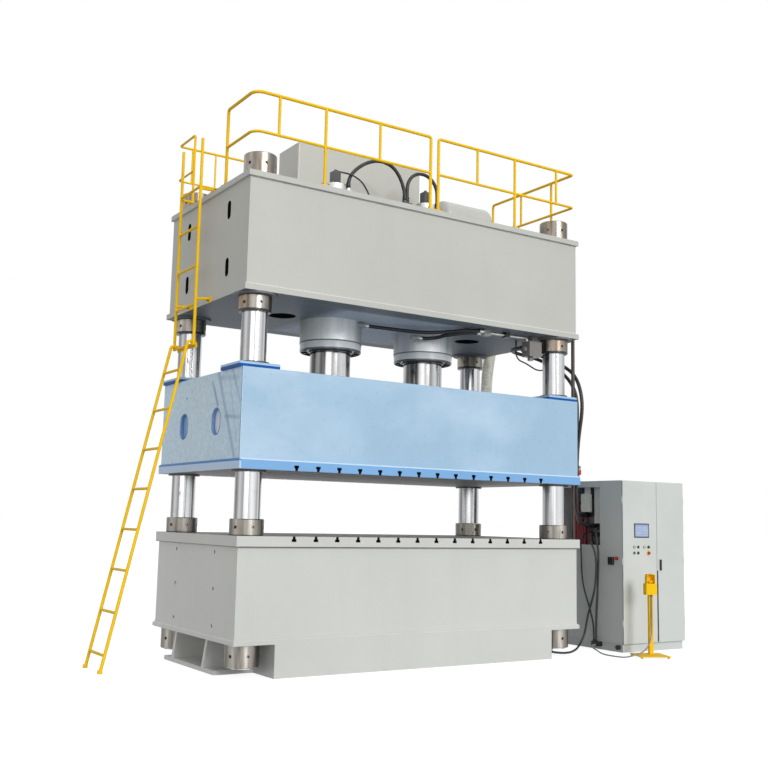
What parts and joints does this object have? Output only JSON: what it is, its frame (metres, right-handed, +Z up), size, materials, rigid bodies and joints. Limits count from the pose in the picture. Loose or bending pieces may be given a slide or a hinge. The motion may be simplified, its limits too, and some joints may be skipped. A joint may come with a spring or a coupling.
{
  "type": "four-column hydraulic press",
  "caption": "Four-column hydraulic press: crown with cylinders and oil tank, guided slide, slotted bolster on a base, handrails, ladder, control cabinet, pedestal.",
  "frame": {"origin": "floor point under the middle of the four columns", "axes": "+X right along the front, +Y to the back, +Z up"},
  "size_m": [7.333, 2.7648, 6.21],
  "materials": {
    "crown_paint": "light warm grey gloss paint",
    "base_paint": "light grey gloss paint",
    "slide_paint": "light blue gloss paint",
    "machined_steel": "machined working face, slots cut along Y",
    "chrome": "hard chrome, ground",
    "nut_steel": "turned steel with a brown oil film",
    "dark_steel": "blackened steel",
    "cylinder_paint": "light grey gloss paint",
    "yellow_paint": "safety yellow gloss paint",
    "tank_paint": "light grey gloss paint",
    "valve_grey": "dark grey paint",
    "pipe_steel": "pickled steel tube",
    "hose_rubber": "smooth black cover",
    "hose_red": "smooth dark red cover",
    "cable_black": "smooth black sheath",
    "cable_grey": "grey sheath",
    "conduit_grey": "corrugated, grey beige",
    "cabinet_paint": "light grey fine-textured paint",
    "panel_slate": "dark slate frame",
    "black_plastic": "black",
    "lamp_mint": "mint lens",
    "green_plastic": "green",
    "red_plastic": "red",
    "motor_paint": "dark blue grey paint",
    "cream_paint": "cream paint"
  },
  "bodies": {
    "frame": {"base_beam": "base_paint", "bolster_plate": "machined_steel", "crown_beam": "crown_paint", "columns": "chrome", "crown_nuts": "nut_steel", "base_nuts": "nut_steel", "cylinders": "cylinder_paint", "gland_rings": "machined_steel", "frame_bolts": "dark_steel", "cylinder_heads": "cylinder_paint", "valve_units": "valve_grey", "oil_tank": "tank_paint", "pressure_vessel": "tank_paint", "pipe_block": "valve_grey", "under_crown_blocks": "valve_grey", "steel_pipes": "pipe_steel", "pipe_clamps": "dark_steel", "corrugated_hose": "conduit_grey", "handrail_front_left": "yellow_paint", "handrail_front_right": "yellow_paint", "handrail_back_left": "yellow_paint", "ladder_upper": "yellow_paint", "ladder_lower": "yellow_paint", "cabinet_shell": "cabinet_paint", "wall_fittings": "black_plastic", "signal_lamp": "red_plastic", "motor_pump_set": "motor_paint", "manifold": "dark_steel", "terminal_box": "cream_paint", "pedestal_stand": "yellow_paint", "pedestal_box": "yellow_paint", "valve_hose_left": "hose_rubber", "valve_hose_right": "hose_rubber", "valve_cable": "cable_black", "under_hose_left": "hose_rubber", "under_hose_right": "hose_rubber", "sensor_cable": "cable_black", "side_hose_front": "hose_rubber", "side_hose_back": "hose_rubber", "cabinet_cable_a": "cable_black", "cabinet_cable_b": "cable_black", "cabinet_cable_c": "cable_black", "pedestal_cable": "cable_grey"},
    "slide": {"slide_beam": "slide_paint", "slide_platen": "machined_steel", "guide_plates": "slide_paint", "guide_bushes": "dark_steel", "piston_rods": "chrome"},
    "door_left": {"cabinet_door_left": "cabinet_paint", "operating_panel": "panel_slate", "panel_fittings": "lamp_mint"},
    "door_right": {"cabinet_door_right": "cabinet_paint"},
    "handle": {"door_handle": "black_plastic"},
    "upper_button": {"button_upper": "black_plastic"},
    "green_button": {"button_green": "green_plastic"},
    "lower_button": {"button_lower": "black_plastic"},
    "selector": {"selector_switch": "black_plastic"},
    "stop": {"stop_button": "red_plastic"},
    "switch_lever": {"main_switch": "red_plastic"},
    "palm_button": {"pedestal_button": "green_plastic"}
  },
  "joints": [
    {"name": "slide_travel", "type": "slide", "parent": "frame", "child": "slide", "axis": [0, 0, 1], "range_m": [-0.46, 0.34], "deforming": ["corrugated_hose"]},
    {"name": "door_left_hinge", "type": "hinge", "parent": "frame", "child": "door_left", "pos_m": [2.998, -1.0355, 1.1], "axis": [0, 0, -1], "range_deg": [0, 48]},
    {"name": "door_right_hinge", "type": "hinge", "parent": "frame", "child": "door_right", "pos_m": [4.117, -1.0355, 1.1], "axis": [0, 0, 1], "range_deg": [0, 110]},
    {"name": "handle_turn", "type": "hinge", "parent": "door_right", "child": "handle", "pos_m": [3.663, -1.0455, 1.108], "axis": [0, 1, 0], "range_deg": [0, 90]},
    {"name": "upper_button_press", "type": "slide", "parent": "door_left", "child": "upper_button", "axis": [0, 1, 0], "range_m": [0, 0.004], "stiffness_N_per_m": 1500},
    {"name": "green_button_press", "type": "slide", "parent": "door_left", "child": "green_button", "axis": [0, 1, 0], "range_m": [0, 0.004], "stiffness_N_per_m": 1500},
    {"name": "lower_button_press", "type": "slide", "parent": "door_left", "child": "lower_button", "axis": [0, 1, 0], "range_m": [0, 0.004], "stiffness_N_per_m": 1500},
    {"name": "selector_turn", "type": "hinge", "parent": "door_left", "child": "selector", "pos_m": [3.45, -1.0455, 1.285], "axis": [0, 1, 0], "range_deg": [-45, 45]},
    {"name": "stop_press", "type": "slide", "parent": "door_left", "child": "stop", "axis": [0, 1, 0], "range_m": [0, 0.004], "stiffness_N_per_m": 1500},
    {"name": "switch_turn", "type": "hinge", "parent": "frame", "child": "switch_lever", "pos_m": [3.005, -0.939, 1.14], "axis": [1, 0, 0], "range_deg": [0, 90]},
    {"name": "palm_button_press", "type": "slide", "parent": "frame", "child": "palm_button", "axis": [0, 0, -1], "range_m": [0, 0.008], "stiffness_N_per_m": 3000, "springref_m": -0.0015}
  ]
}
